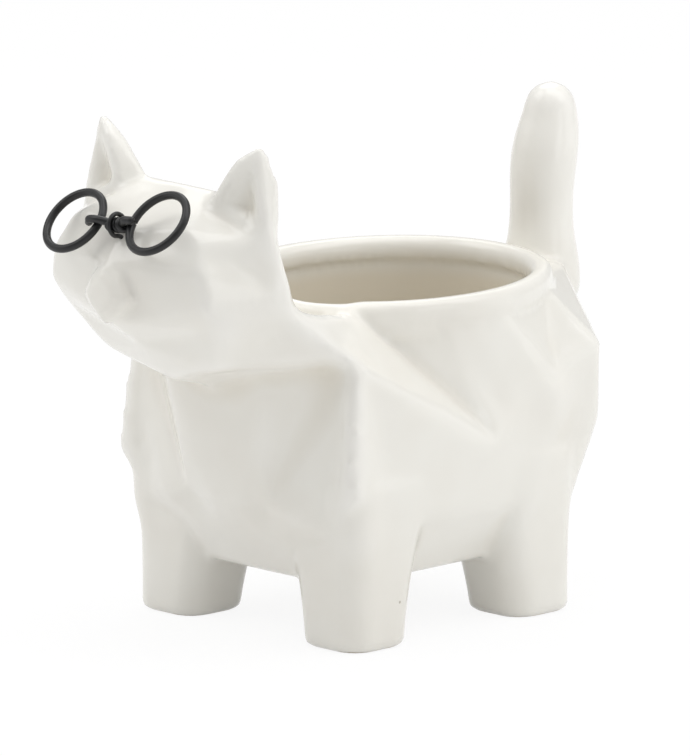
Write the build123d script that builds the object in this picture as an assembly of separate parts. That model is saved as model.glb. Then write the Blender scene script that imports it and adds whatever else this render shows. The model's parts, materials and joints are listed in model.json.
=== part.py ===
from build123d import *
import os
from math import cos, radians, sin

os.makedirs("parts", exist_ok=True)

# A cat-shaped planter: one slip-cast, glazed ceramic body, faceted like folded paper, and a
# pair of wire spectacles held on its brow. The cat looks along -Y, +X is its left side, +Z is
# up, and the origin lies on the ground under the middle of its length. Sizes in millimetres.

# Belly, the faceted pot
belly_width = 100.0
belly_length = 150.0
belly_height = 100.0
belly_mid_y = 23.2
wall = 5.5
floor_z = 25.0
cavity_drop = 12.0
cavity_top_z = belly_height - cavity_drop

# Rim, an oval bead round the pour opening
rim_stand = 2.3
rim_height = belly_height + rim_stand
rim_mid_y = 20.5
rim_thickness = 7.0
bead_height = 6.3
bead_z = rim_height - bead_height
bead_skirt = 4.5
bead_taper = 1.6
bead_ledge = 0.2
inner_round = 3.4
outer_round = 3.0
opening_width = 81.0
opening_length = 94.0
rim_width = opening_width + 2 * rim_thickness
rim_length = opening_length + 2 * rim_thickness
undercut = 1.8
undercut_drop = 12.0

# Legs
foot_width = 26.0
foot_corner = 9.0
foot_edge_round = 2.2
shin_z = 15.0
shin_width = 28.0
shin_corner = 9.0
shin_lean = 1.0
leg_spacing_x = 70.0
leg_spacing_y = 69.0
leg_mid_y = 8.6
leg_top_z = 50.0
leg_top_width = 40.0
leg_top_corner = 10.0
leg_lean = 5.3
leg_end_z = 62.0
leg_end_width = 24.0
leg_end_corner = 6.0

# Head
head_width = 86.0
head_depth = 60.0
head_height = 64.0
head_reach = 14.3
head_drop = 22.0
head_mid_y = belly_mid_y - belly_length / 2 - head_reach
head_base_z = belly_height - head_drop
head_front_y = head_mid_y - head_depth / 2
head_top_z = head_base_z + head_height

# Ears
ear_width = 28.0
ear_depth = 14.0
ear_height = 30.0
ear_mid_x = 27.0
ear_setback = 2.8
ear_sink = 14.6
ear_mid_y = head_mid_y + ear_setback
ear_base_z = head_top_z - ear_sink

# Muzzle
muzzle_width = 18.5
muzzle_height = 18.5
muzzle_rise = 34.0
muzzle_sink = 8.8
muzzle_depth = 8.0
muzzle_nose = 2.4
muzzle_mid_z = head_base_z + muzzle_rise
muzzle_root_y = head_front_y + muzzle_sink
muzzle_edge_y = muzzle_root_y - muzzle_depth
muzzle_front_y = muzzle_edge_y - muzzle_nose
muzzle_face_share = 0.56
muzzle_round = 1.0

# Tail
tail_inset = 11.5
tail_sink = 16.0
tail_length = 65.1
tail_root_radius = 10.9
tail_tip_radius = 7.8
tail_lean = 4.2
tail_root_y = belly_mid_y + belly_length / 2 - tail_inset
tail_root_z = belly_height - tail_sink

# Spectacles
wire_diameter = 2.5
rim_radius = 10.2
rim_spacing = 34.4
rim_rise = 1.0
bar_shift = -0.8
rim_cut = 0.8
hook_clearance = 0.15
hook_ramp = 1.7
hook_tail = 4.4
hook_end_height = 1.0
hook_bend = 1.375
staple_diameter = 1.4
staple_clearance = 0.1
staple_leg = 15.0
socket_clearance = 0.05
socket_spare = 1.0
bridge_inset = 5.9
bridge_drop = 9.9
bridge_y = head_front_y + bridge_inset
bridge_z = head_top_z - bridge_drop
glasses_lean = 43.0
glasses_turn = -4.3
glasses_roll = 9.4

overrun = 2.0


# Corners of the facets on the cat's left half, as shares of half the width (0 is the middle
# plane), of half the length from the belly's middle and of the height
belly_corner_shares = {
    "neck_top": (0.394, -0.981, 0.815),
    "chest_low": (0.36, -0.927, 0.42),
    "shoulder": (0.93, -0.80, 0.89),
    "elbow": (0.99, -0.853, 0.50),
    "foreleg_top": (0.78, -0.847, 0.37),
    "foreleg_back": (0.98, -0.515, 0.39),
    "flank_front": (1.02, -0.213, 0.56),
    "flank_mid": (1.01, -0.047, 0.566),
    "hindleg_front": (0.96, 0.192, 0.36),
    "hindleg_back": (0.90, 0.433, 0.34),
    "hip": (1.0, 0.272, 0.738),
    "rump_corner": (0.99, 0.527, 0.80),
    "rump_low": (0.99, 0.52, 0.58),
    "rump_back": (0.34, 0.627, 0.48),
    "tail_root": (0.0, 1.0, 0.85),
    "rump_top": (0.24, 0.813, 0.965),
    "rim_front": (0.0, -0.747, 0.99),
    "rim_shoulder": (0.60, -0.573, 0.99),
    "rim_side": (0.87, -0.285, 0.99),
    "rim_flank": (0.93, -0.044, 0.99),
    "rim_hip": (0.76, 0.36, 0.99),
    "rim_rump": (0.36, 0.613, 0.99),
    "rim_back": (0.0, 0.671, 0.99),
    "under_chest": (0.40, -0.76, 0.185),
    "under_elbow": (0.72, -0.707, 0.185),
    "under_side_front": (0.75, -0.44, 0.185),
    "under_side_back": (0.75, 0.013, 0.185),
    "under_knee": (0.72, 0.28, 0.185),
    "under_rump": (0.36, 0.36, 0.185),
}

# A minus sign names the corner mirrored to the cat's right half
belly_facets_across = [
    ("neck_top", "-neck_top", "-chest_low", "chest_low"),
    ("chest_low", "-chest_low", "-under_chest", "under_chest"),
    ("rim_front", "-neck_top", "neck_top"),
    ("rim_back", "rump_top", "-rump_top"),
    ("rump_top", "tail_root", "-rump_top"),
    ("tail_root", "rump_back", "-rump_back"),
    ("rump_back", "under_rump", "-under_rump", "-rump_back"),
    ("under_chest", "-under_chest", "-under_elbow", "-under_side_front", "-under_side_back",
     "-under_knee", "-under_rump", "under_rump", "under_knee", "under_side_back",
     "under_side_front", "under_elbow"),
    ("rim_front", "rim_shoulder", "rim_side", "rim_flank", "rim_hip", "rim_rump", "rim_back",
     "-rim_rump", "-rim_hip", "-rim_flank", "-rim_side", "-rim_shoulder"),
]

belly_facets_left = [
    ("neck_top", "chest_low", "shoulder"),
    ("chest_low", "foreleg_top", "shoulder"),
    ("shoulder", "foreleg_top", "elbow"),
    ("rim_shoulder", "neck_top", "shoulder"),
    ("rim_front", "neck_top", "rim_shoulder"),
    ("chest_low", "under_chest", "foreleg_top"),
    ("foreleg_top", "under_chest", "under_elbow"),
    ("foreleg_top", "foreleg_back", "elbow"),
    ("foreleg_top", "under_elbow", "foreleg_back"),
    ("foreleg_back", "under_elbow", "under_side_front"),
    ("shoulder", "elbow", "foreleg_back"),
    ("shoulder", "foreleg_back", "flank_front"),
    ("shoulder", "flank_front", "flank_mid"),
    ("rim_shoulder", "shoulder", "flank_mid"),
    ("rim_shoulder", "flank_mid", "rim_side"),
    ("rim_side", "flank_mid", "rim_flank"),
    ("rim_flank", "flank_mid", "hip"),
    ("rim_flank", "hip", "rim_hip"),
    ("rim_hip", "hip", "rump_corner"),
    ("flank_mid", "hindleg_front", "hip"),
    ("hip", "hindleg_front", "rump_corner"),
    ("flank_front", "hindleg_front", "flank_mid"),
    ("foreleg_back", "hindleg_front", "flank_front"),
    ("foreleg_back", "under_side_back", "hindleg_front"),
    ("foreleg_back", "under_side_front", "under_side_back"),
    ("rump_corner", "hindleg_front", "rump_low"),
    ("rump_low", "hindleg_front", "hindleg_back"),
    ("hindleg_front", "under_knee", "hindleg_back"),
    ("hindleg_front", "under_side_back", "under_knee"),
    ("rim_hip", "rump_top", "rim_rump"),
    ("rim_hip", "rump_corner", "rump_top"),
    ("rump_corner", "tail_root", "rump_top"),
    ("rim_rump", "rump_top", "rim_back"),
    ("rump_corner", "rump_back", "tail_root"),
    ("rump_corner", "rump_low", "rump_back"),
    ("rump_low", "hindleg_back", "rump_back"),
    ("rump_back", "hindleg_back", "under_rump"),
    ("hindleg_back", "under_knee", "under_rump"),
]

# Corners of the head, as shares of half its width, of half its depth and of its height. Its two
# hindmost corners on each side, neck and neck_back, are corners of the belly
head_corner_shares = {
    "crest": (0.0, 0.11, 0.989),
    "ear_inner": (0.342, 0.11, 0.984),
    "ear_outer": (0.953, 0.077, 0.8125),
    "brow": (0.0, -0.723, 0.81),
    "nose_top": (0.0, -0.94, 0.67),
    "brow_side": (0.488, -0.607, 0.852),
    "temple": (0.651, -0.557, 0.789),
    "temple_back": (0.837, -0.153, 0.8),
    "cheek_top": (0.733, -0.657, 0.672),
    "cheek": (0.779, -0.64, 0.516),
    "jaw": (0.791, -0.457, 0.398),
    "mouth": (0.0, -0.89, 0.39),
    "chin": (0.0, -0.523, 0.266),
    "under_jaw": (0.547, -0.207, 0.158),
    "keel": (0.0, -0.057, 0.047),
    "crease": (0.70, 0.12, 0.18),
    "back_side": (1.0, 0.243, 0.531),
    "jaw_back": (0.965, 0.21, 0.47),
    "nape_side": (0.56, 0.87, 0.33),
    "nape": (0.0, 1.11, 0.34),
    "back_mid": (0.0, 0.577, 0.672),
    "back_upper": (0.60, 0.543, 0.625),
    "throat": (0.0, 0.83, -0.06),
}

head_facets_left = [
    ("crest", "brow_side", "ear_inner"),
    ("crest", "brow", "brow_side"),
    ("ear_inner", "temple_back", "ear_outer"),
    ("ear_inner", "brow_side", "temple_back"),
    ("brow_side", "temple", "temple_back"),
    ("brow", "temple", "brow_side"),
    ("brow", "nose_top", "temple"),
    ("nose_top", "cheek_top", "temple"),
    ("nose_top", "cheek", "cheek_top"),
    ("nose_top", "mouth", "cheek"),
    ("mouth", "jaw", "cheek"),
    ("mouth", "chin", "jaw"),
    ("temple", "back_side", "temple_back"),
    ("temple", "cheek_top", "back_side"),
    ("cheek_top", "cheek", "back_side"),
    ("cheek", "jaw_back", "back_side"),
    ("cheek", "jaw", "jaw_back"),
    ("temple_back", "back_side", "ear_outer"),
    ("jaw", "crease", "jaw_back"),
    ("crease", "neck", "jaw_back"),
    ("jaw", "under_jaw", "crease"),
    ("jaw", "chin", "under_jaw"),
    ("chin", "keel", "under_jaw"),
    ("under_jaw", "keel", "crease"),
    ("crest", "ear_inner", "back_upper"),
    ("crest", "back_upper", "back_mid"),
    ("ear_inner", "ear_outer", "back_upper"),
    ("ear_outer", "back_side", "back_upper"),
    ("back_side", "jaw_back", "nape_side"),
    ("back_side", "nape_side", "back_upper"),
    ("back_upper", "nape_side", "nape"),
    ("back_upper", "nape", "back_mid"),
    ("jaw_back", "neck", "neck_back"),
    ("jaw_back", "neck_back", "nape_side"),
    ("keel", "throat", "crease"),
    ("crease", "throat", "neck"),
    ("neck", "throat", "neck_back"),
    ("neck_back", "throat", "nape_side"),
    ("nape_side", "throat", "nape"),
]

# Corners of the left ear, as shares of half its width, of half its depth and of its height
ear_corner_shares = {
    "front_inner": (-0.571, -1.071, 0.35),
    "front_outer": (0.94, -0.5, 0.003),
    "back_outer": (0.929, 0.214, -0.047),
    "back_mid": (0.071, 1.214, 0.087),
    "back_inner": (-1.036, 0.071, 0.353),
    "tip": (0.50, -0.20, 1.0),
    "tip_back": (0.535, 0.30, 0.955),
    "edge_mid": (0.03, -0.643, 0.837),
    "back_bulge": (0.75, 0.529, 0.653),
    "inner_bulge": (-0.143, 0.10, 0.803),
}

ear_facets = [
    ("tip", "edge_mid", "front_outer"),
    ("edge_mid", "front_inner", "front_outer"),
    ("tip", "tip_back", "inner_bulge"),
    ("tip_back", "back_bulge", "inner_bulge"),
    ("inner_bulge", "back_bulge", "back_mid"),
    ("back_bulge", "back_outer", "back_mid"),
    ("inner_bulge", "back_mid", "back_inner"),
    ("tip", "inner_bulge", "edge_mid"),
    ("edge_mid", "inner_bulge", "back_inner"),
    ("edge_mid", "back_inner", "front_inner"),
    ("tip", "front_outer", "tip_back"),
    ("tip_back", "front_outer", "back_bulge"),
    ("front_outer", "back_outer", "back_bulge"),
    ("front_inner", "back_outer", "front_outer"),
    ("front_inner", "back_mid", "back_outer"),
    ("front_inner", "back_inner", "back_mid"),
]

# The hollow in the front of the ear, a pyramid whose point lies inside the ear
hollow_corner_shares = {
    "top": (0.47, -0.45, 0.90),
    "edge": (0.02, -0.85, 0.78),
    "inner": (-0.45, -1.15, 0.40),
    "outer": (0.82, -0.78, 0.10),
    "point": (0.22, 0.0, 0.33),
}

hollow_facets = [
    ("top", "edge", "inner"),
    ("top", "inner", "outer"),
    ("top", "point", "edge"),
    ("edge", "point", "inner"),
    ("inner", "point", "outer"),
    ("top", "outer", "point"),
]

# Muzzle outline, as shares of half its width and half its height
muzzle_outline_shares = [(0.0, 1.0), (0.62, 0.58), (1.0, -0.08), (0.62, -0.6), (0.0, -1.0),
                         (-0.62, -0.6), (-1.0, -0.08), (-0.62, 0.58)]

# Tail sections from root to tip, as shares of the way up, of the lean and of the taper
tail_section_shares = [(0.0, 0.0, 0.0), (0.29, 0.095, 0.13), (0.57, 0.16, 0.40),
                       (0.77, 0.45, 0.28), (0.93, 0.86, 0.66), (1.0, 1.0, 1.0)]


def placed(corner_shares, half_width, half_length, height, mid_x, mid_y, base_z):
    """Corners in millimetres, with a mirrored one for each, named with a minus sign."""
    places = {}
    for name, (across, along, up) in corner_shares.items():
        y = mid_y + along * half_length
        z = base_z + up * height
        places[name] = Vector(mid_x + across * half_width, y, z)
        places["-" + name] = Vector(-mid_x - across * half_width, y, z)
    return places


def flipped(facet):
    """The same facet on the cat's right half."""
    return tuple(name[1:] if name[0] == "-" else "-" + name for name in reversed(facet))


def on_middle(name, places):
    return abs(places[name].X) < overrun / 100


def faceted(places, facets):
    """A closed solid from its facets; a mirrored corner on the middle plane is the same one."""
    faces = []
    for facet in facets:
        corners = []
        for name in facet:
            plain = name.lstrip("-")
            corners.append(places[plain if on_middle(plain, places) else name])
        faces.append(Face(Wire.make_polygon(corners, close=True)))
    return Solid(Shell(faces))


def both_halves(across, left):
    return across + left + [flipped(facet) for facet in left]


def belly_places(shrink):
    """Corners of the belly, drawn in by shrink on every side but its top and bottom."""
    return placed(belly_corner_shares, belly_width / 2 - shrink, belly_length / 2 - shrink,
                  belly_height, 0, belly_mid_y, 0)


def belly(shrink):
    return faceted(belly_places(shrink), both_halves(belly_facets_across, belly_facets_left))


def oval(z, width, length):
    return Pos(0, rim_mid_y, z) * Ellipse(width / 2, length / 2)


def rim_bead():
    """The thick lip of the opening, its crest rounded inside and out."""
    ring = oval(bead_z, rim_width, rim_length) - oval(bead_z, opening_width, opening_length)
    crown = extrude(ring, bead_height)
    outer_edge = crown.edges().group_by(Axis.Z)[-1].sort_by(SortBy.LENGTH)[-1]
    crown = fillet(outer_edge, outer_round)
    inner_edge = crown.edges().filter_by(GeomType.ELLIPSE).group_by(Axis.Z)[-1]
    return fillet(inner_edge, inner_round)


def rim_skirt():
    """The body's swelling up to the underside of the bead."""
    def section(z, inset):
        return oval(z, rim_width - 2 * inset, rim_length - 2 * inset)
    return loft([section(bead_z - bead_skirt, bead_taper), section(bead_z, bead_ledge)])


def cavity():
    """The space for the pot: faceted below, and oval up to the bead that overhangs it."""
    span = 4 * belly_width
    slab_height = cavity_top_z - floor_z
    slab = Pos(0, belly_mid_y, floor_z) * Box(span, span, slab_height,
                                             align=(Align.CENTER, Align.CENTER, Align.MIN))
    chamber = belly(wall) & slab
    throat = extrude(oval(bead_z - undercut_drop, opening_width + 2 * undercut,
                          opening_length + 2 * undercut), undercut_drop + bead_height + overrun)
    return chamber + throat


def leg(side_x, side_y):
    """A leg that widens up to the belly and narrows again inside it, rounded at the ground."""
    def section(z, width, corner, lean):
        x = side_x * (leg_spacing_x / 2 - lean)
        y = leg_mid_y + side_y * (leg_spacing_y / 2 - lean)
        return Pos(x, y, z) * RectangleRounded(width, width, corner)
    top = section(leg_top_z, leg_top_width, leg_top_corner, leg_lean)
    shin = loft([section(0, foot_width, foot_corner, 0),
                 section(shin_z, shin_width, shin_corner, shin_lean), top])
    shin = fillet(shin.edges().group_by(Axis.Z)[0], foot_edge_round)
    return shin + loft([top, section(leg_end_z, leg_end_width, leg_end_corner, leg_lean)])


def head():
    """The faceted head, whose neck widens back to the belly's shoulders."""
    places = placed(head_corner_shares, head_width / 2, head_depth / 2, head_height,
                    0, head_mid_y, head_base_z)
    body = belly_places(0)
    for side in ("", "-"):
        places[side + "neck"] = body[side + "shoulder"]
        places[side + "neck_back"] = body[side + "rim_shoulder"]
    return faceted(places, both_halves([], head_facets_left))


def ear():
    """The cat's left ear, hollowed in front."""
    def part(shares, facets):
        places = placed(shares, ear_width / 2, ear_depth / 2, ear_height,
                        ear_mid_x, ear_mid_y, ear_base_z)
        return faceted(places, facets)
    return part(ear_corner_shares, ear_facets) - part(hollow_corner_shares, hollow_facets)


def muzzle_outline(y, scale):
    plane = Plane(origin=(0, y, muzzle_mid_z), x_dir=(1, 0, 0), z_dir=(0, -1, 0))
    points = [(across * scale * muzzle_width / 2, up * scale * muzzle_height / 2)
              for across, up in muzzle_outline_shares]
    return plane * make_face(Polyline(*points, close=True))


def muzzle():
    root = loft([muzzle_outline(muzzle_root_y, 1), muzzle_outline(muzzle_edge_y, 1)], ruled=True)
    nose = loft([muzzle_outline(muzzle_edge_y, 1),
                 muzzle_outline(muzzle_front_y, muzzle_face_share)], ruled=True)
    snout = root + nose
    return fillet(snout.edges().group_by(Axis.Y)[0], muzzle_round)


def tail():
    """An upright tail, slightly bent back, with a round tip."""
    stem_height = tail_length - tail_tip_radius
    taper = tail_root_radius - tail_tip_radius
    sections = [
        Pos(0, tail_root_y + lean_share * tail_lean, tail_root_z + up_share * stem_height)
        * Circle(tail_root_radius - taper_share * taper)
        for up_share, lean_share, taper_share in tail_section_shares
    ]
    tip = Pos(0, tail_root_y + tail_lean, tail_root_z + stem_height) * Sphere(tail_tip_radius)
    return loft(sections) + tip


# The spectacles lie in one plane through the bridge: local X runs along the bridge to the
# cat's left, local Y up in that plane, and local Z out of the face
facing = Plane(origin=(0, bridge_y, bridge_z),
               x_dir=(cos(radians(glasses_turn)), sin(radians(glasses_turn)), 0),
               z_dir=(sin(radians(glasses_turn)) * cos(radians(glasses_lean)),
                      -cos(radians(glasses_turn)) * cos(radians(glasses_lean)),
                      sin(radians(glasses_lean))))
bridge_place = facing.location * Rot(0, 0, glasses_roll)
staple_radius = (wire_diameter + staple_diameter) / 2 + staple_clearance


def spectacle_rim(side):
    """One ring of wire, cut where the bridge hooks over it."""
    ring = Torus(rim_radius, wire_diameter / 2)
    slot = Box(4 * wire_diameter, rim_cut, 2 * wire_diameter)
    cut = ring - Pos(-side * rim_radius, 0, 0) * slot
    return bridge_place * (Pos(bar_shift + side * rim_spacing / 2, rim_rise, 0) * cut)


def bridge_wire():
    """The bar between the rings, its ends hooked over the front of both."""
    rise = wire_diameter + hook_clearance
    near = rim_spacing / 2 - rim_radius - wire_diameter / 2 - hook_ramp - hook_clearance
    top_start = near + hook_ramp
    top_end = top_start + wire_diameter + 2 * hook_clearance
    points = [(-top_end - hook_tail, 0, hook_end_height), (-top_end, 0, rise),
              (-top_start, 0, rise), (-near, 0, 0), (near, 0, 0), (top_start, 0, rise),
              (top_end, 0, rise), (top_end + hook_ramp, 0, hook_end_height)]
    path = FilletPolyline(*points, radius=hook_bend)
    start = Plane(origin=path @ 0, z_dir=path % 0)
    return bridge_place * (Pos(bar_shift, 0, 0) * sweep(start * Circle(wire_diameter / 2), path=path))


def staple(diameter, leg_length, cap):
    """A U of thin wire over the bridge bar, its two legs pointing into the brow."""
    arch = Plane.YZ * CenterArc((0, 0), staple_radius, 0, 180)
    bend = sweep(Pos(0, staple_radius, 0) * Circle(diameter / 2), path=arch)
    legs = Part()
    for side in (-1, 1):
        legs += Pos(0, side * staple_radius, -leg_length / 2) * Cylinder(diameter / 2, leg_length)
    return legs + bend if cap else legs


sockets = bridge_place * staple(staple_diameter + 2 * socket_clearance,
                                staple_leg + socket_spare, False)

planter_body = belly(0) + rim_skirt() + head() + muzzle() + tail() + ear() + mirror(ear(), Plane.YZ)
for side_x in (-1, 1):
    for side_y in (-1, 1):
        planter_body += leg(side_x, side_y)
planter_body = planter_body - cavity() - sockets + rim_bead()

nodes = {
    "planter_body": planter_body,
    "left_rim": spectacle_rim(1),
    "right_rim": spectacle_rim(-1),
    "bridge_wire": bridge_wire(),
    "brow_staple": bridge_place * staple(staple_diameter, staple_leg, True),
}
for name, solid in nodes.items():
    export_step(solid, "parts/" + name + ".step")
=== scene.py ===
# A cat-shaped planter in white glazed stoneware, with spectacles bent from black coated wire.
# Everything is in metres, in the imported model's frame: the cat looks along -Y, +X is its left.
import json
from math import cos, pi, radians, sin

import bmesh
import bpy
import numpy as np
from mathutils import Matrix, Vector


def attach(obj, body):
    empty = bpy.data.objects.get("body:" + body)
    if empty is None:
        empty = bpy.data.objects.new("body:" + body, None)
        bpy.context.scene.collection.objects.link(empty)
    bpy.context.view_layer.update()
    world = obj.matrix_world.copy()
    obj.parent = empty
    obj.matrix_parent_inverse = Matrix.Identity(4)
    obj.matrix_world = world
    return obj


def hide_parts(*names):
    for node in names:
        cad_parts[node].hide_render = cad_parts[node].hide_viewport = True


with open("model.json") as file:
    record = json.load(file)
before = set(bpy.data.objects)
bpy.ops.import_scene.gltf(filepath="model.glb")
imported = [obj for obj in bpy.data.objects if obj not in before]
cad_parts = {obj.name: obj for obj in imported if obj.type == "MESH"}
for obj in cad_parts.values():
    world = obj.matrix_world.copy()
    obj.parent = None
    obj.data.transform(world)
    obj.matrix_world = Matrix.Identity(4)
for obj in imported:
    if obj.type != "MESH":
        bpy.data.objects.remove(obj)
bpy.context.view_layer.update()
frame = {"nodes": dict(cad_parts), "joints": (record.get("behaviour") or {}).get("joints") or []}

MM = 0.001

# Camera: a long lens at the photograph's angle. Azimuth 0 is in front of the cat, 90 on its left
CAMERA_AZIMUTH = 45.6
CAMERA_ELEVATION = 12.4
CAMERA_DISTANCE = 8.0
CAMERA_TARGET = Vector((-12.45, 16.615, 67.244)) * MM
IMAGE_HEIGHT = 756
PIXEL = 0.3 * MM
SENSOR = 36.0

# Studio. The softboxes are named as the camera sees them: azimuth, elevation, width and watts
FLOOR_HALF = 6.0
FLOOR_GLOW = 1.02
FLOOR_GLOW_SHARE = 0.88
ROOM_STRENGTH = 0.48
LAMP_DISTANCE = 1.3
SOFTBOXES = {
    "right_low": (135, 12, 0.8, 1.4),
    "back_high": (225, 50, 0.8, 3.0),
    "left_low": (-45, 12, 0.8, 0.9),
    "left_high": (-45, 50, 0.8, 3.6),
    "front_high": (45, 60, 0.8, 0.9),
    "overhead": (135, 85, 0.8, 3.4),
    "front_right": (95, 10, 0.5, 0.9),
    "right_high": (125, 50, 0.8, 3.3),
}

# White glaze and the clay under it: how far apart their patterns lie, and how deep they are. The
# clay's grit is drawn coarser than it is, so that it shows
IOR = 1.5
GLAZE_ROUGHNESS = 0.13
CLOUD_SIZE = 38.0 * MM
CLOUD_RANGE = (0.35, 0.65)
POOLED_RANGE = (0.15, 1.0)
THINNED_RANGE = (-0.15, -1.0)
WAVE_SIZE = 16.0 * MM
WAVE_DEPTH = 0.10 * MM
RIPPLE_SIZE = 2.4 * MM
RIPPLE_DEPTH = 0.004 * MM
PINHOLE_SPACING = 17.0 * MM
PINHOLE_RANGE = (0.036, 0.012)
PINHOLE_RARITY = 0.62
PINHOLE_DEPTH = 0.2 * MM
CLAY_ROUGHNESS = 0.85
CLAY_TOP = 1.0 * MM
CLAY_FULL = 0.8 * MM
CLAY_EDGE_SIZE = 7.0 * MM
CLAY_EDGE_HEIGHT = 1.2 * MM
GRIT_SIZE = 0.7 * MM
GRIT_DEPTH = 0.15 * MM

# Coated wire
SCUFF_SIZE = 3.5 * MM
SCUFF_RANGE = (0.45, 0.7)
SKIN_SIZE = 1.6 * MM
SKIN_DEPTH = 0.05 * MM
SKIN_ROUGHNESS = 0.30
SCUFF_ROUGHNESS = 0.46

# Glazed body: the casting as an even mesh, whose folds are then rounded
VOXEL = 1.2 * MM
LOOSE = 0.001 * MM
SMOOTHING_ROUNDS = 60
SMOOTHING_STEP = 0.6
EVEN_ROUNDS = 8
GLAZE_THICKNESS = 0.6 * MM

# How far the thick glaze rounds the folds, first of the whole body, then of its regions. Where two
# regions meet, the later one in the list holds
BODY_SOFTNESS = 2.2 * MM
SOFTNESS = {
    "flank": 2.6 * MM,
    "cheek": 4.3 * MM,
    "tail": 3.2 * MM,
    "rim": 1.2 * MM,
    "ear": 2.0 * MM,
    "muzzle": 0.6 * MM,
    "foot": 1.2 * MM,
    "neck": 3.4 * MM,
    "pot": 3.0 * MM,
}

# Where the regions are. The round ones have a middle and a reach, and are mirrored
BLEND = 6.0 * MM
ROUND_REGIONS = {
    "flank": (Vector((50.0, 20.0, 62.0)) * MM, 34.0 * MM),
    "ear": (Vector((27.0, -63.0, 150.0)) * MM, 17.0 * MM),
    "muzzle": (Vector((0.0, -97.0, 112.0)) * MM, 13.0 * MM),
    "cheek": (Vector((27.0, -58.0, 112.0)) * MM, 23.0 * MM),
    "neck": (Vector((18.0, -50.0, 84.0)) * MM, 25.0 * MM),
    "nape": (Vector((22.0, -28.0, 99.0)) * MM, 9.0 * MM),
}
RIM_MIDDLE_Y = 20.5 * MM
RIM_HALF_WIDTH = 44.0 * MM
RIM_HALF_LENGTH = 50.5 * MM
RIM_REACH = 5.0 * MM
RIM_BASE_Z = 93.0 * MM
FOOT_HEIGHT = 8.0 * MM
TAIL_START_Z = 103.0 * MM
TAIL_START_Y = 78.0 * MM

# Folds in the chest and flanks, mirrored: start, end, reach and height, where a valley's is negative
FOLDS = [
    (Vector((15.5, -46.0, 39.0)) * MM, Vector((40.0, -39.5, 84.0)) * MM, 10.0 * MM, -2.2 * MM),
    (Vector((47.0, -38.5, 86.0)) * MM, Vector((47.0, -37.0, 34.0)) * MM, 10.0 * MM, 1.5 * MM),
    (Vector((34.0, -20.0, 93.0)) * MM, Vector((50.0, 14.0, 60.0)) * MM, 10.0 * MM, 0.9 * MM),
    (Vector((44.0, 1.0, 93.0)) * MM, Vector((49.5, 19.0, 72.0)) * MM, 9.0 * MM, -1.1 * MM),
    (Vector((46.0, 27.0, 93.0)) * MM, Vector((49.5, 43.5, 66.0)) * MM, 9.0 * MM, 1.0 * MM),
    (Vector((49.5, 43.5, 66.0)) * MM, Vector((48.5, 36.0, 38.0)) * MM, 9.0 * MM, 1.0 * MM),
]

# Relief: the facets of the belly lie a little hollow between their ridges
RELIEF_ROUNDS = 130
RELIEF_STEP = 0.6
RELIEF = 0.14
RELIEF_LOW = 34.0 * MM
RELIEF_HIGH = 84.0 * MM

# Inside of the pot: a chamber that is wider than the mouth. From the bead down to the top of the
# throat its wall is straight, and from there down to the throat's low end it widens. What lies
# further out than the wall's share of the throat's oval belongs to the wall
POT_MIDDLE = Vector((0.0, 20.5, 62.0)) * MM
POT_FLOOR_Z = 21.0 * MM
CHAMBER_SHARE = 1.7
CHAMBER_TOP = 98.0 * MM
BEAD_LOW = 95.0 * MM
THROAT_HALF_WIDTH = 42.3 * MM
THROAT_HALF_LENGTH = 48.8 * MM
THROAT_LOW = 52.0 * MM
THROAT_HIGH = 80.0 * MM
THROAT_FRONT_Y = -24.0 * MM
THROAT_BACK_Y = 4.0 * MM
THROAT_WALL_SHARE = 0.75

# Wire of the spectacles and their pin, as a round section along a smooth line
WIRE_RADIUS = 1.25 * MM
WIRE_SIDES = 20
WIRE_STEPS = 6

# Twisted bridge, in the spectacles' own frame: X along the bridge, Y up and Z out of the face.
# Each side's strand hooks over its ring, and its tail runs on past the hook and ends at a height
BAR_SHIFT = -0.8 * MM
TWIST_HALF_LENGTH = 3.1 * MM
TWIST_SHIFT = 1.1 * MM
TWIST_TURNS = 1.5
TWIST_POINTS = 13
HOOK_HEIGHT = 2.65 * MM
HOOK_NEAR = 5.6 * MM
HOOK_FAR = 8.4 * MM
HOOK_TAILS = {1: (1.6 * MM, 1.0 * MM), -1: (0.7 * MM, 2.3 * MM)}

# Brow pin, in the same frame
PIN_RADIUS = 0.7 * MM
PIN_HALF_WIDTH = 1.95 * MM
PIN_DEPTH = 14.5 * MM
PIN_ARCH = 3.3 * MM
PIN_ARCH_STEPS = 6


def linear(code):
    """The linear colour of an sRGB hex code."""
    parts = [int(code[i:i + 2], 16) / 255 for i in (1, 3, 5)]
    return [c / 12.92 if c <= 0.04045 else ((c + 0.055) / 1.055) ** 2.4 for c in parts] + [1.0]


def add(tree, kind, settings=None, **inputs):
    """Adds a node with its settings and inputs. An input is named in lower case, with a number at the
    end where several share a name. It is a value, a socket, or a node whose first output is meant."""
    node = tree.nodes.new(kind)
    for name, value in (settings or {}).items():
        setattr(node, name, value)
    for name, value in inputs.items():
        label, _, number = name.rpartition("_")
        if not number.isdigit():
            label, number = name, 0
        named = [s for s in node.inputs if s.enabled and s.name.lower().replace(" ", "_") == label]
        socket = named[int(number)]
        if isinstance(value, bpy.types.Node):
            value = next(output for output in value.outputs if output.enabled)
        if isinstance(value, bpy.types.NodeSocket):
            tree.links.new(value, socket)
        else:
            socket.default_value = value
    return node


def material(name):
    """A material with an empty node tree, and that tree."""
    made = bpy.data.materials.new(name)
    made.use_nodes = True
    made.node_tree.nodes.clear()
    return made, made.node_tree


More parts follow.
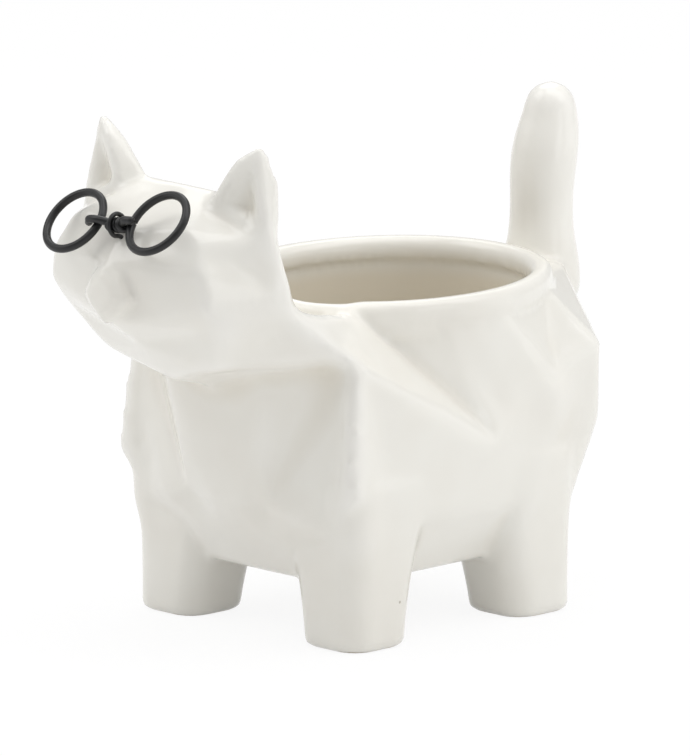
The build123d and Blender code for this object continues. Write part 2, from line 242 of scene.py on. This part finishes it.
def white_glaze():
    """Glossy tin-white glaze, dipped and fired over slip-cast stoneware. It pulls thin and clean on
    the folds, pools a little warmer in the creases, waves slightly where it ran, and has the odd
    pinhole. In the pot it is painted darker and warmer, as painted shade of its walls. The feet are
    wiped bare underneath, where the clay shows matt and sandy."""
    made, tree = material("glossy_white_glaze_on_stoneware")
    colours = {"data_type": "RGBA"}
    place = add(tree, "ShaderNodeTexCoord").outputs["Object"]
    depth = add(tree, "ShaderNodeAttribute", {"attribute_name": "glaze_depth"}).outputs["Fac"]
    cloud = add(tree, "ShaderNodeTexNoise", vector=place, scale=1 / CLOUD_SIZE, detail=3.0)
    cloudy = add(tree, "ShaderNodeMapRange", value=cloud, from_min=CLOUD_RANGE[0],
                 from_max=CLOUD_RANGE[1])
    glaze = add(tree, "ShaderNodeMix", colours, factor=cloudy, a=linear("#F3F1EA"),
                b=linear("#EFECE4"))
    pooled = add(tree, "ShaderNodeMapRange", value=depth, from_min=POOLED_RANGE[0],
                 from_max=POOLED_RANGE[1])
    glaze = add(tree, "ShaderNodeMix", colours, factor=pooled, a=glaze, b=linear("#E7E2D6"))
    thinned = add(tree, "ShaderNodeMapRange", value=depth, from_min=THINNED_RANGE[0],
                  from_max=THINNED_RANGE[1])
    glaze = add(tree, "ShaderNodeMix", colours, factor=thinned, a=glaze, b=linear("#F6F4EE"))

    # Pinholes sit in the middle of some cells, chosen by each cell's random colour
    cells = add(tree, "ShaderNodeTexVoronoi", vector=place, scale=1 / PINHOLE_SPACING)
    random = add(tree, "ShaderNodeSeparateColor", color=cells.outputs["Color"])
    chosen = add(tree, "ShaderNodeMath", {"operation": "GREATER_THAN"}, value_0=random,
                 value_1=PINHOLE_RARITY)
    hole = add(tree, "ShaderNodeMapRange", value=cells.outputs["Distance"],
               from_min=PINHOLE_RANGE[0], from_max=PINHOLE_RANGE[1])
    pinhole = add(tree, "ShaderNodeMath", {"operation": "MULTIPLY"}, value_0=hole, value_1=chosen)
    glaze = add(tree, "ShaderNodeMix", colours, factor=pinhole, a=glaze, b=linear("#B9B1A2"))
    # Painted shade: the inside of the pot is painted darker and warmer, standing in for the shade its
    # walls cast
    shaded_pot_inside = add(tree, "ShaderNodeAttribute", {"attribute_name": "shaded_pot_inside"}).outputs["Fac"]
    glaze = add(tree, "ShaderNodeMix", colours, factor=shaded_pot_inside, a=glaze, b=linear("#E8E1D2"))

    # Bare clay at the very bottom of the feet, with an edge that wanders
    height = add(tree, "ShaderNodeSeparateXYZ", vector=place).outputs["Z"]
    wander = add(tree, "ShaderNodeTexNoise", vector=place, scale=1 / CLAY_EDGE_SIZE, detail=2.0)
    edge = add(tree, "ShaderNodeMath", {"operation": "MULTIPLY_ADD"}, value_0=wander,
               value_1=CLAY_EDGE_HEIGHT, value_2=height)
    bare = add(tree, "ShaderNodeMapRange", value=edge, from_min=CLAY_TOP, from_max=CLAY_FULL)
    grit = add(tree, "ShaderNodeTexNoise", vector=place, scale=1 / GRIT_SIZE, detail=4.0)
    clay = add(tree, "ShaderNodeMix", colours, factor=grit, a=linear("#CDBFA8"),
               b=linear("#E2D8C6"))
    colour = add(tree, "ShaderNodeMix", colours, factor=bare, a=glaze, b=clay)
    roughness = add(tree, "ShaderNodeMapRange", value=bare, to_min=GLAZE_ROUGHNESS,
                    to_max=CLAY_ROUGHNESS)

    waves = add(tree, "ShaderNodeTexNoise", vector=place, scale=1 / WAVE_SIZE, detail=1.0)
    ripples = add(tree, "ShaderNodeTexNoise", vector=place, scale=1 / RIPPLE_SIZE, detail=1.0)
    sandy = add(tree, "ShaderNodeMath", {"operation": "MULTIPLY"}, value_0=bare, value_1=grit)
    bumped = add(tree, "ShaderNodeBump", strength=1.0, distance=WAVE_DEPTH, height=waves)
    bumped = add(tree, "ShaderNodeBump", strength=1.0, distance=RIPPLE_DEPTH, height=ripples,
                 normal=bumped)
    bumped = add(tree, "ShaderNodeBump", {"invert": True}, strength=1.0, distance=PINHOLE_DEPTH,
                 height=pinhole, normal=bumped)
    bumped = add(tree, "ShaderNodeBump", strength=1.0, distance=GRIT_DEPTH, height=sandy,
                 normal=bumped)
    shader = add(tree, "ShaderNodeBsdfPrincipled", base_color=colour, roughness=roughness, ior=IOR,
                 normal=bumped)
    add(tree, "ShaderNodeOutputMaterial", surface=shader)
    return made


def coated_wire():
    """Soft steel craft wire in black vinyl, drawn through a die: satin, with a slightly uneven skin,
    and duller scuffs where fingers and pliers bent it."""
    made, tree = material("black_vinyl_coated_wire")
    place = add(tree, "ShaderNodeTexCoord").outputs["Object"]
    rubbed = add(tree, "ShaderNodeTexNoise", vector=place, scale=1 / SCUFF_SIZE, detail=4.0)
    scuff = add(tree, "ShaderNodeMapRange", value=rubbed, from_min=SCUFF_RANGE[0],
                from_max=SCUFF_RANGE[1])
    colour = add(tree, "ShaderNodeMix", {"data_type": "RGBA"}, factor=scuff, a=linear("#0D0D0E"),
                 b=linear("#18181A"))
    roughness = add(tree, "ShaderNodeMapRange", value=scuff, to_min=SKIN_ROUGHNESS,
                    to_max=SCUFF_ROUGHNESS)
    skin = add(tree, "ShaderNodeTexNoise", vector=place, scale=1 / SKIN_SIZE, detail=3.0)
    bumped = add(tree, "ShaderNodeBump", strength=1.0, distance=SKIN_DEPTH, height=skin)
    shader = add(tree, "ShaderNodeBsdfPrincipled", base_color=colour, roughness=roughness, ior=IOR,
                 normal=bumped)
    add(tree, "ShaderNodeOutputMaterial", surface=shader)
    return made


def linked(name, data):
    """An object with that data, in the scene."""
    made = bpy.data.objects.new(name, data)
    bpy.context.scene.collection.objects.link(made)
    return made


def apply_modifiers(piece):
    """Turns the piece with its modifiers into plain mesh."""
    graph = bpy.context.evaluated_depsgraph_get()
    mesh = bpy.data.meshes.new_from_object(piece.evaluated_get(graph))
    old = piece.data
    piece.modifiers.clear()
    piece.data = mesh
    bpy.data.meshes.remove(old)


def even_casting(name):
    """The casting's solid as a new piece, in one closed mesh of even faces."""
    mesh = frame["nodes"]["planter_body"].data.copy()
    work = bmesh.new()
    work.from_mesh(mesh)
    bmesh.ops.remove_doubles(work, verts=work.verts, dist=LOOSE)
    work.to_mesh(mesh)
    work.free()
    mesh.materials.clear()
    piece = linked(name, mesh)
    remesh = piece.modifiers.new("even_mesh", "REMESH")
    remesh.mode = "VOXEL"
    remesh.voxel_size = VOXEL
    remesh.use_smooth_shade = True
    apply_modifiers(piece)
    return piece


def rows(items, name, width, kind=float):
    """A property of all items as an array, one row for each."""
    values = np.empty(len(items) * width, dtype=kind)
    items.foreach_get(name, values)
    return values.reshape(-1, width)


def softened(points, edges, strength, rounds=SMOOTHING_ROUNDS):
    """Points drawn towards their neighbours, each by its own strength."""
    count = len(points)
    neighbours = np.bincount(edges.ravel(), minlength=count)[:, None]
    for _ in range(rounds):
        total = np.zeros_like(points)
        for axis in range(points.shape[1]):
            total[:, axis] = (np.bincount(edges[:, 0], points[edges[:, 1], axis], count)
                              + np.bincount(edges[:, 1], points[edges[:, 0], axis], count))
        points = points + strength * (total / neighbours - points)
    return points


def fading(distance, reach):
    """One up to the reach, falling to nothing one blend further out."""
    share = np.clip((distance - reach) / BLEND, 0, 1)
    return 1 - share * share * (3 - 2 * share)


def mirrored(points):
    """The points, with those on the cat's right moved to its left."""
    return np.hstack([np.abs(points[:, :1]), points[:, 1:]])


def outwards(points, normals):
    """Above nothing where the surface faces away from the middle of the pot."""
    return np.sum((points - np.array(POT_MIDDLE)) * normals, axis=1)


def across_pot(points, half_width, half_length):
    """How far each point is from the pot's axis, as a share of an oval's half sizes."""
    return np.hypot(points[:, 0] / half_width, (points[:, 1] - RIM_MIDDLE_Y) / half_length)


def regions(points):
    """How much each point belongs to each region of the body, from 0 to 1."""
    left = mirrored(points)
    places = {name: fading(np.linalg.norm(left - np.array(middle), axis=1), reach)
              for name, (middle, reach) in ROUND_REGIONS.items()}
    places["neck"] = np.maximum(places["neck"], places.pop("nape"))
    beside = (across_pot(points, RIM_HALF_WIDTH, RIM_HALF_LENGTH) - 1) * RIM_HALF_WIDTH
    places["rim"] = fading(np.hypot(beside, np.minimum(points[:, 2] - RIM_BASE_Z, 0)), RIM_REACH)
    places["foot"] = fading(points[:, 2], FOOT_HEIGHT)
    places["tail"] = (fading(TAIL_START_Z - points[:, 2], 0)
                      * fading(TAIL_START_Y - points[:, 1], 0))
    places["belly"] = fading(points[:, 2], RELIEF_HIGH) * fading(RELIEF_LOW - points[:, 2], 0)
    return places


def folded_in(points, normals):
    """How far each fold moves each point out: a straight crease that runs out on both sides."""
    left = mirrored(points)
    moved = np.zeros(len(points))
    for start, end, reach, height in FOLDS:
        line = np.array(end - start)
        share = np.clip((left - np.array(start)) @ line / (line @ line), 0, 1)
        distance = np.linalg.norm(left - np.array(start) - share[:, None] * line, axis=1)
        moved += height * np.clip(1 - distance / reach, 0, 1)
    return moved * (outwards(points, normals) > 0)


def inside_pot(points, normals):
    """Which points are on the pot's wall, from its floor up to the top of the rim."""
    along = across_pot(points, RIM_HALF_WIDTH, RIM_HALF_LENGTH)
    within = (along < 1) | ((along < CHAMBER_SHARE) & (points[:, 2] < CHAMBER_TOP))
    return (outwards(points, normals) < 0) * within * (points[:, 2] > POT_FLOOR_Z)


def straight_walled(points, shaded_pot_inside):
    """The points, with the wall dropping straight from under the rim's bead. It fades into the
    hollow chamber below, and towards the chest."""
    across = across_pot(points, THROAT_HALF_WIDTH, THROAT_HALF_LENGTH)
    upwards = np.clip((points[:, 2] - THROAT_LOW) / (THROAT_HIGH - THROAT_LOW), 0, 1)
    backwards = np.clip((points[:, 1] - THROAT_FRONT_Y) / (THROAT_BACK_Y - THROAT_FRONT_Y), 0, 1)
    share = shaded_pot_inside * upwards * backwards * (across > THROAT_WALL_SHARE) * (points[:, 2] < BEAD_LOW)
    squeeze = 1 + share * (1 / np.maximum(across, THROAT_WALL_SHARE) - 1)
    straight = points.copy()
    straight[:, 0] *= squeeze
    straight[:, 1] = RIM_MIDDLE_Y + (points[:, 1] - RIM_MIDDLE_Y) * squeeze
    return straight


def smoothing_strength(places, count):
    """How far each point moves in a round of smoothing, so that all rounds give its softness."""
    softness = np.full(count, BODY_SOFTNESS)
    for name, value in SOFTNESS.items():
        softness += places[name] * (value - softness)
    spread = SMOOTHING_ROUNDS * VOXEL ** 2 / 2
    return np.minimum(softness ** 2 / spread, SMOOTHING_STEP)[:, None]


def glazed_body(glaze):
    """The fired body: the folds of the casting, rounded by the thick glaze."""
    piece = even_casting("glazed_body")
    mesh = piece.data
    points = rows(mesh.vertices, "co", 3)
    normals = rows(mesh.vertices, "normal", 3)
    edges = rows(mesh.edges, "vertices", 2, np.int64)

    points = points + folded_in(points, normals)[:, None] * normals
    shaded_pot_inside = inside_pot(points, normals)
    points = straight_walled(points, shaded_pot_inside)
    places = regions(points)
    places["pot"] = shaded_pot_inside * fading(points[:, 2], RIM_BASE_Z - BLEND)
    even = softened(points, edges, RELIEF_STEP, EVEN_ROUNDS)
    hollow = even - softened(even, edges, RELIEF_STEP, RELIEF_ROUNDS)
    points = points + RELIEF * (places["belly"] * (1 - places["neck"]))[:, None] * hollow

    strength = smoothing_strength(places, len(points))
    soft = softened(points, edges, strength)
    # What the rounding took off is spread out and put back, so that the outline stays, except at
    # the neck and in the pot, where the glaze fills the creases
    kept = (1 - places["neck"]) * (1 - places["pot"])
    lost = softened((points - soft) * kept[:, None], edges, strength)
    finished = soft + lost
    finished[:, 2] = np.maximum(finished[:, 2], 0)
    mesh.vertices.foreach_set("co", finished.ravel())
    mesh.update()

    # How deep the glaze lies, above nothing in a crease, and where the pot's inside gets its painted
    # shade, darker and warmer
    depth = -np.sum((points - soft) * rows(mesh.vertices, "normal", 3), axis=1)
    depth = softened((depth / GLAZE_THICKNESS)[:, None], edges, strength)[:, 0]
    # The mask for the painted shade inside the pot, softened and faded out below the rim's bead
    shaded_pot_inside = softened(shaded_pot_inside[:, None].astype(float), edges, RELIEF_STEP, EVEN_ROUNDS)[:, 0]
    shaded_pot_inside *= fading(finished[:, 2], BEAD_LOW - BLEND)
    for name, values in (("glaze_depth", depth), ("shaded_pot_inside", shaded_pot_inside)):
        layer = mesh.attributes.new(name, "FLOAT", "POINT")
        layer.data.foreach_set("value", values.astype(np.float32))
    mesh.shade_smooth()
    mesh.materials.append(glaze)
    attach(piece, "planter")
    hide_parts("planter_body")


def bent_wire_tree():
    """Round wire along every chain of points, with cut ends."""
    tree = bpy.data.node_groups.new("bent_wire", "GeometryNodeTree")
    for name, kind, way in (("Line", "Geometry", "INPUT"), ("Radius", "Float", "INPUT"),
                            ("Sides", "Int", "INPUT"), ("Skin", "Material", "INPUT"),
                            ("Wire", "Geometry", "OUTPUT")):
        tree.interface.new_socket(name, in_out=way, socket_type="NodeSocket" + kind)
    given = add(tree, "NodeGroupInput").outputs
    chain = add(tree, "GeometryNodeMeshToCurve", mesh=given["Line"])
    smooth = add(tree, "GeometryNodeCurveSplineType", {"spline_type": "CATMULL_ROM"}, curve=chain)
    fine = add(tree, "GeometryNodeSetSplineResolution", geometry=smooth, resolution=WIRE_STEPS)
    section = add(tree, "GeometryNodeCurvePrimitiveCircle", resolution=given["Sides"],
                  radius=given["Radius"])
    round_wire = add(tree, "GeometryNodeCurveToMesh", curve=fine, profile_curve=section,
                     fill_caps=True)
    shaded = add(tree, "GeometryNodeSetShadeSmooth", geometry=round_wire)
    real = add(tree, "GeometryNodeRealizeInstances", geometry=shaded)
    finished = add(tree, "GeometryNodeSetMaterial", geometry=real, material=given["Skin"])
    add(tree, "NodeGroupOutput", wire=finished)
    return tree


def wire_piece(name, tree, skin, chains, radius, body):
    """Wire through the given chains of points, as one mesh that rides on a body."""
    mesh = bpy.data.meshes.new(name)
    points, edges = [], []
    for chain in chains:
        edges += [(len(points) + i, len(points) + i + 1) for i in range(len(chain) - 1)]
        points += chain
    mesh.from_pydata(points, edges, [])
    piece = linked(name, mesh)
    modifier = piece.modifiers.new("bent_wire", "NODES")
    modifier.node_group = tree
    sockets = {item.name: item.identifier for item in tree.interface.items_tree}
    modifier[sockets["Radius"]] = radius
    modifier[sockets["Sides"]] = WIRE_SIDES
    modifier[sockets["Skin"]] = skin
    apply_modifiers(piece)
    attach(piece, body)
    return piece


def spectacles_frame():
    """A function that puts a place in the spectacles' own frame into the model's."""
    joints = {joint["name"]: joint for joint in frame["joints"]}
    origin = Vector(joints["spectacles_nod"]["pos_m"])
    across = Vector(joints["spectacles_nod"]["axis"]).normalized()
    out = Vector(joints["spectacles_pull"]["axis"]).normalized()
    up = out.cross(across)
    return lambda x, y, z: origin + across * x + up * y + out * z


def strand(side):
    """One strand of the bridge: the hook over its ring, then its turns round the other strand."""
    tail, height = HOOK_TAILS[side]
    chain = [(-side * (HOOK_FAR + tail), 0, height),
             (-side * (HOOK_FAR + tail / 2), 0, (height + HOOK_HEIGHT) / 2),
             (-side * HOOK_FAR, 0, HOOK_HEIGHT), (-side * HOOK_NEAR, 0, HOOK_HEIGHT)]
    for step in range(TWIST_POINTS):
        share = step / (TWIST_POINTS - 1)
        angle = pi / 2 + 2 * pi * TWIST_TURNS * share
        x = side * TWIST_HALF_LENGTH * (2 * share - 1) + TWIST_SHIFT
        chain.append((x, side * WIRE_RADIUS * cos(angle), WIRE_RADIUS * sin(angle)))
    return chain


def twisted_bridge(tree, skin, placed):
    """Two strands twisted together between the rings, each hooked over one ring."""
    chains = [[placed(x + BAR_SHIFT, y, z) for x, y, z in strand(side)] for side in (1, -1)]
    piece = wire_piece("twisted_bridge", tree, skin, chains, WIRE_RADIUS, "spectacles")
    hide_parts("bridge_wire")


def brow_pin(tree, skin, placed):
    """The staple that holds the bridge to the brow, its crown bent round the twist."""
    right = [(PIN_HALF_WIDTH, -PIN_DEPTH), (PIN_HALF_WIDTH, -PIN_DEPTH / 2),
             (PIN_HALF_WIDTH, -PIN_ARCH), (PIN_ARCH, -PIN_RADIUS)]
    turns = [pi * step / PIN_ARCH_STEPS for step in range(1, PIN_ARCH_STEPS)]
    crown = [(PIN_ARCH * cos(turn), PIN_ARCH * sin(turn)) for turn in turns]
    left = [(-y, z) for y, z in reversed(right)]
    chain = [placed(0, y, z) for y, z in right + crown + left]
    piece = wire_piece("brow_pin", tree, skin, [chain], PIN_RADIUS, "staple")
    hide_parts("brow_staple")


def direction(azimuth, elevation):
    """The way to a stand at that azimuth, 0 in front of the cat and 90 on its left."""
    azimuth, elevation = radians(azimuth), radians(elevation)
    return Vector((sin(azimuth) * cos(elevation), -cos(azimuth) * cos(elevation), sin(elevation)))


def placed_on_stand(name, data, azimuth, elevation, distance):
    """A camera or lamp at that azimuth, elevation and distance, aimed at the object."""
    way = direction(azimuth, elevation)
    stand = linked(name, data)
    stand.location = CAMERA_TARGET + way * distance
    stand.rotation_euler = way.to_track_quat("Z", "Y").to_euler()
    return stand


def camera():
    """The camera, whose lens shows one pixel of the photograph as its real size."""
    made = bpy.data.cameras.new("camera")
    made.sensor_fit = "VERTICAL"
    made.sensor_height = SENSOR
    made.lens = SENSOR * CAMERA_DISTANCE / (IMAGE_HEIGHT * PIXEL)
    made.clip_end = 3 * CAMERA_DISTANCE
    bpy.context.scene.camera = placed_on_stand("camera", made, CAMERA_AZIMUTH, CAMERA_ELEVATION,
                                               CAMERA_DISTANCE)


def floor():
    """A white sweep that the object stands on, which reads white to the camera but for its shadow."""
    made, tree = material("white_paper_sweep")
    rays = add(tree, "ShaderNodeLightPath").outputs
    seen = add(tree, "ShaderNodeMath", {"operation": "MAXIMUM"}, value_0=rays["Is Camera Ray"],
               value_1=rays["Is Glossy Ray"])
    seen = add(tree, "ShaderNodeMath", {"operation": "MAXIMUM"}, value_0=seen,
               value_1=rays["Is Transmission Ray"])
    share = add(tree, "ShaderNodeMath", {"operation": "MULTIPLY"}, value_0=seen,
                value_1=FLOOR_GLOW_SHARE)
    paper = add(tree, "ShaderNodeBsdfDiffuse", color=linear("#F4F4F4"))
    white = add(tree, "ShaderNodeEmission", color=linear("#FFFFFF"), strength=FLOOR_GLOW)
    mixed = add(tree, "ShaderNodeMixShader", fac=share, shader_0=paper, shader_1=white)
    add(tree, "ShaderNodeOutputMaterial", surface=mixed)
    mesh = bpy.data.meshes.new("floor")
    corners = [(x * FLOOR_HALF, y * FLOOR_HALF, 0) for x, y in ((-1, -1), (1, -1), (1, 1), (-1, 1))]
    mesh.from_pydata(corners, [], [(0, 1, 2, 3)])
    mesh.materials.append(made)
    linked("floor", mesh)


def softbox(name, azimuth, elevation, width, watts):
    """A square softbox aimed at the object from that side."""
    made = bpy.data.lights.new(name, "AREA")
    made.shape = "SQUARE"
    made.size = width
    made.energy = watts
    placed_on_stand(name, made, azimuth, elevation, LAMP_DISTANCE)


def studio():
    """Soft light from all sides: a pale room, which the camera sees white, and the softboxes."""
    scene = bpy.context.scene
    scene.view_settings.view_transform = "Standard"
    world = bpy.data.worlds.new("studio")
    world.use_nodes = True
    tree = world.node_tree
    tree.nodes.clear()
    rays = add(tree, "ShaderNodeLightPath").outputs
    room = add(tree, "ShaderNodeBackground", color=linear("#FFFFFF"), strength=ROOM_STRENGTH)
    white = add(tree, "ShaderNodeBackground", color=linear("#FFFFFF"), strength=1.0)
    mixed = add(tree, "ShaderNodeMixShader", fac=rays["Is Camera Ray"], shader_0=room,
                shader_1=white)
    add(tree, "ShaderNodeOutputWorld", surface=mixed)
    scene.world = world
    for name, (azimuth, elevation, width, watts) in SOFTBOXES.items():
        softbox(name, azimuth, elevation, width, watts)


glaze = white_glaze()
coating = coated_wire()
camera()
floor()
studio()
glazed_body(glaze)
for node in ("left_rim", "right_rim"):
    frame["nodes"][node].data.materials.clear()
    frame["nodes"][node].data.materials.append(coating)
wire_tree = bent_wire_tree()
glasses = spectacles_frame()
twisted_bridge(wire_tree, coating, glasses)
brow_pin(wire_tree, coating, glasses)
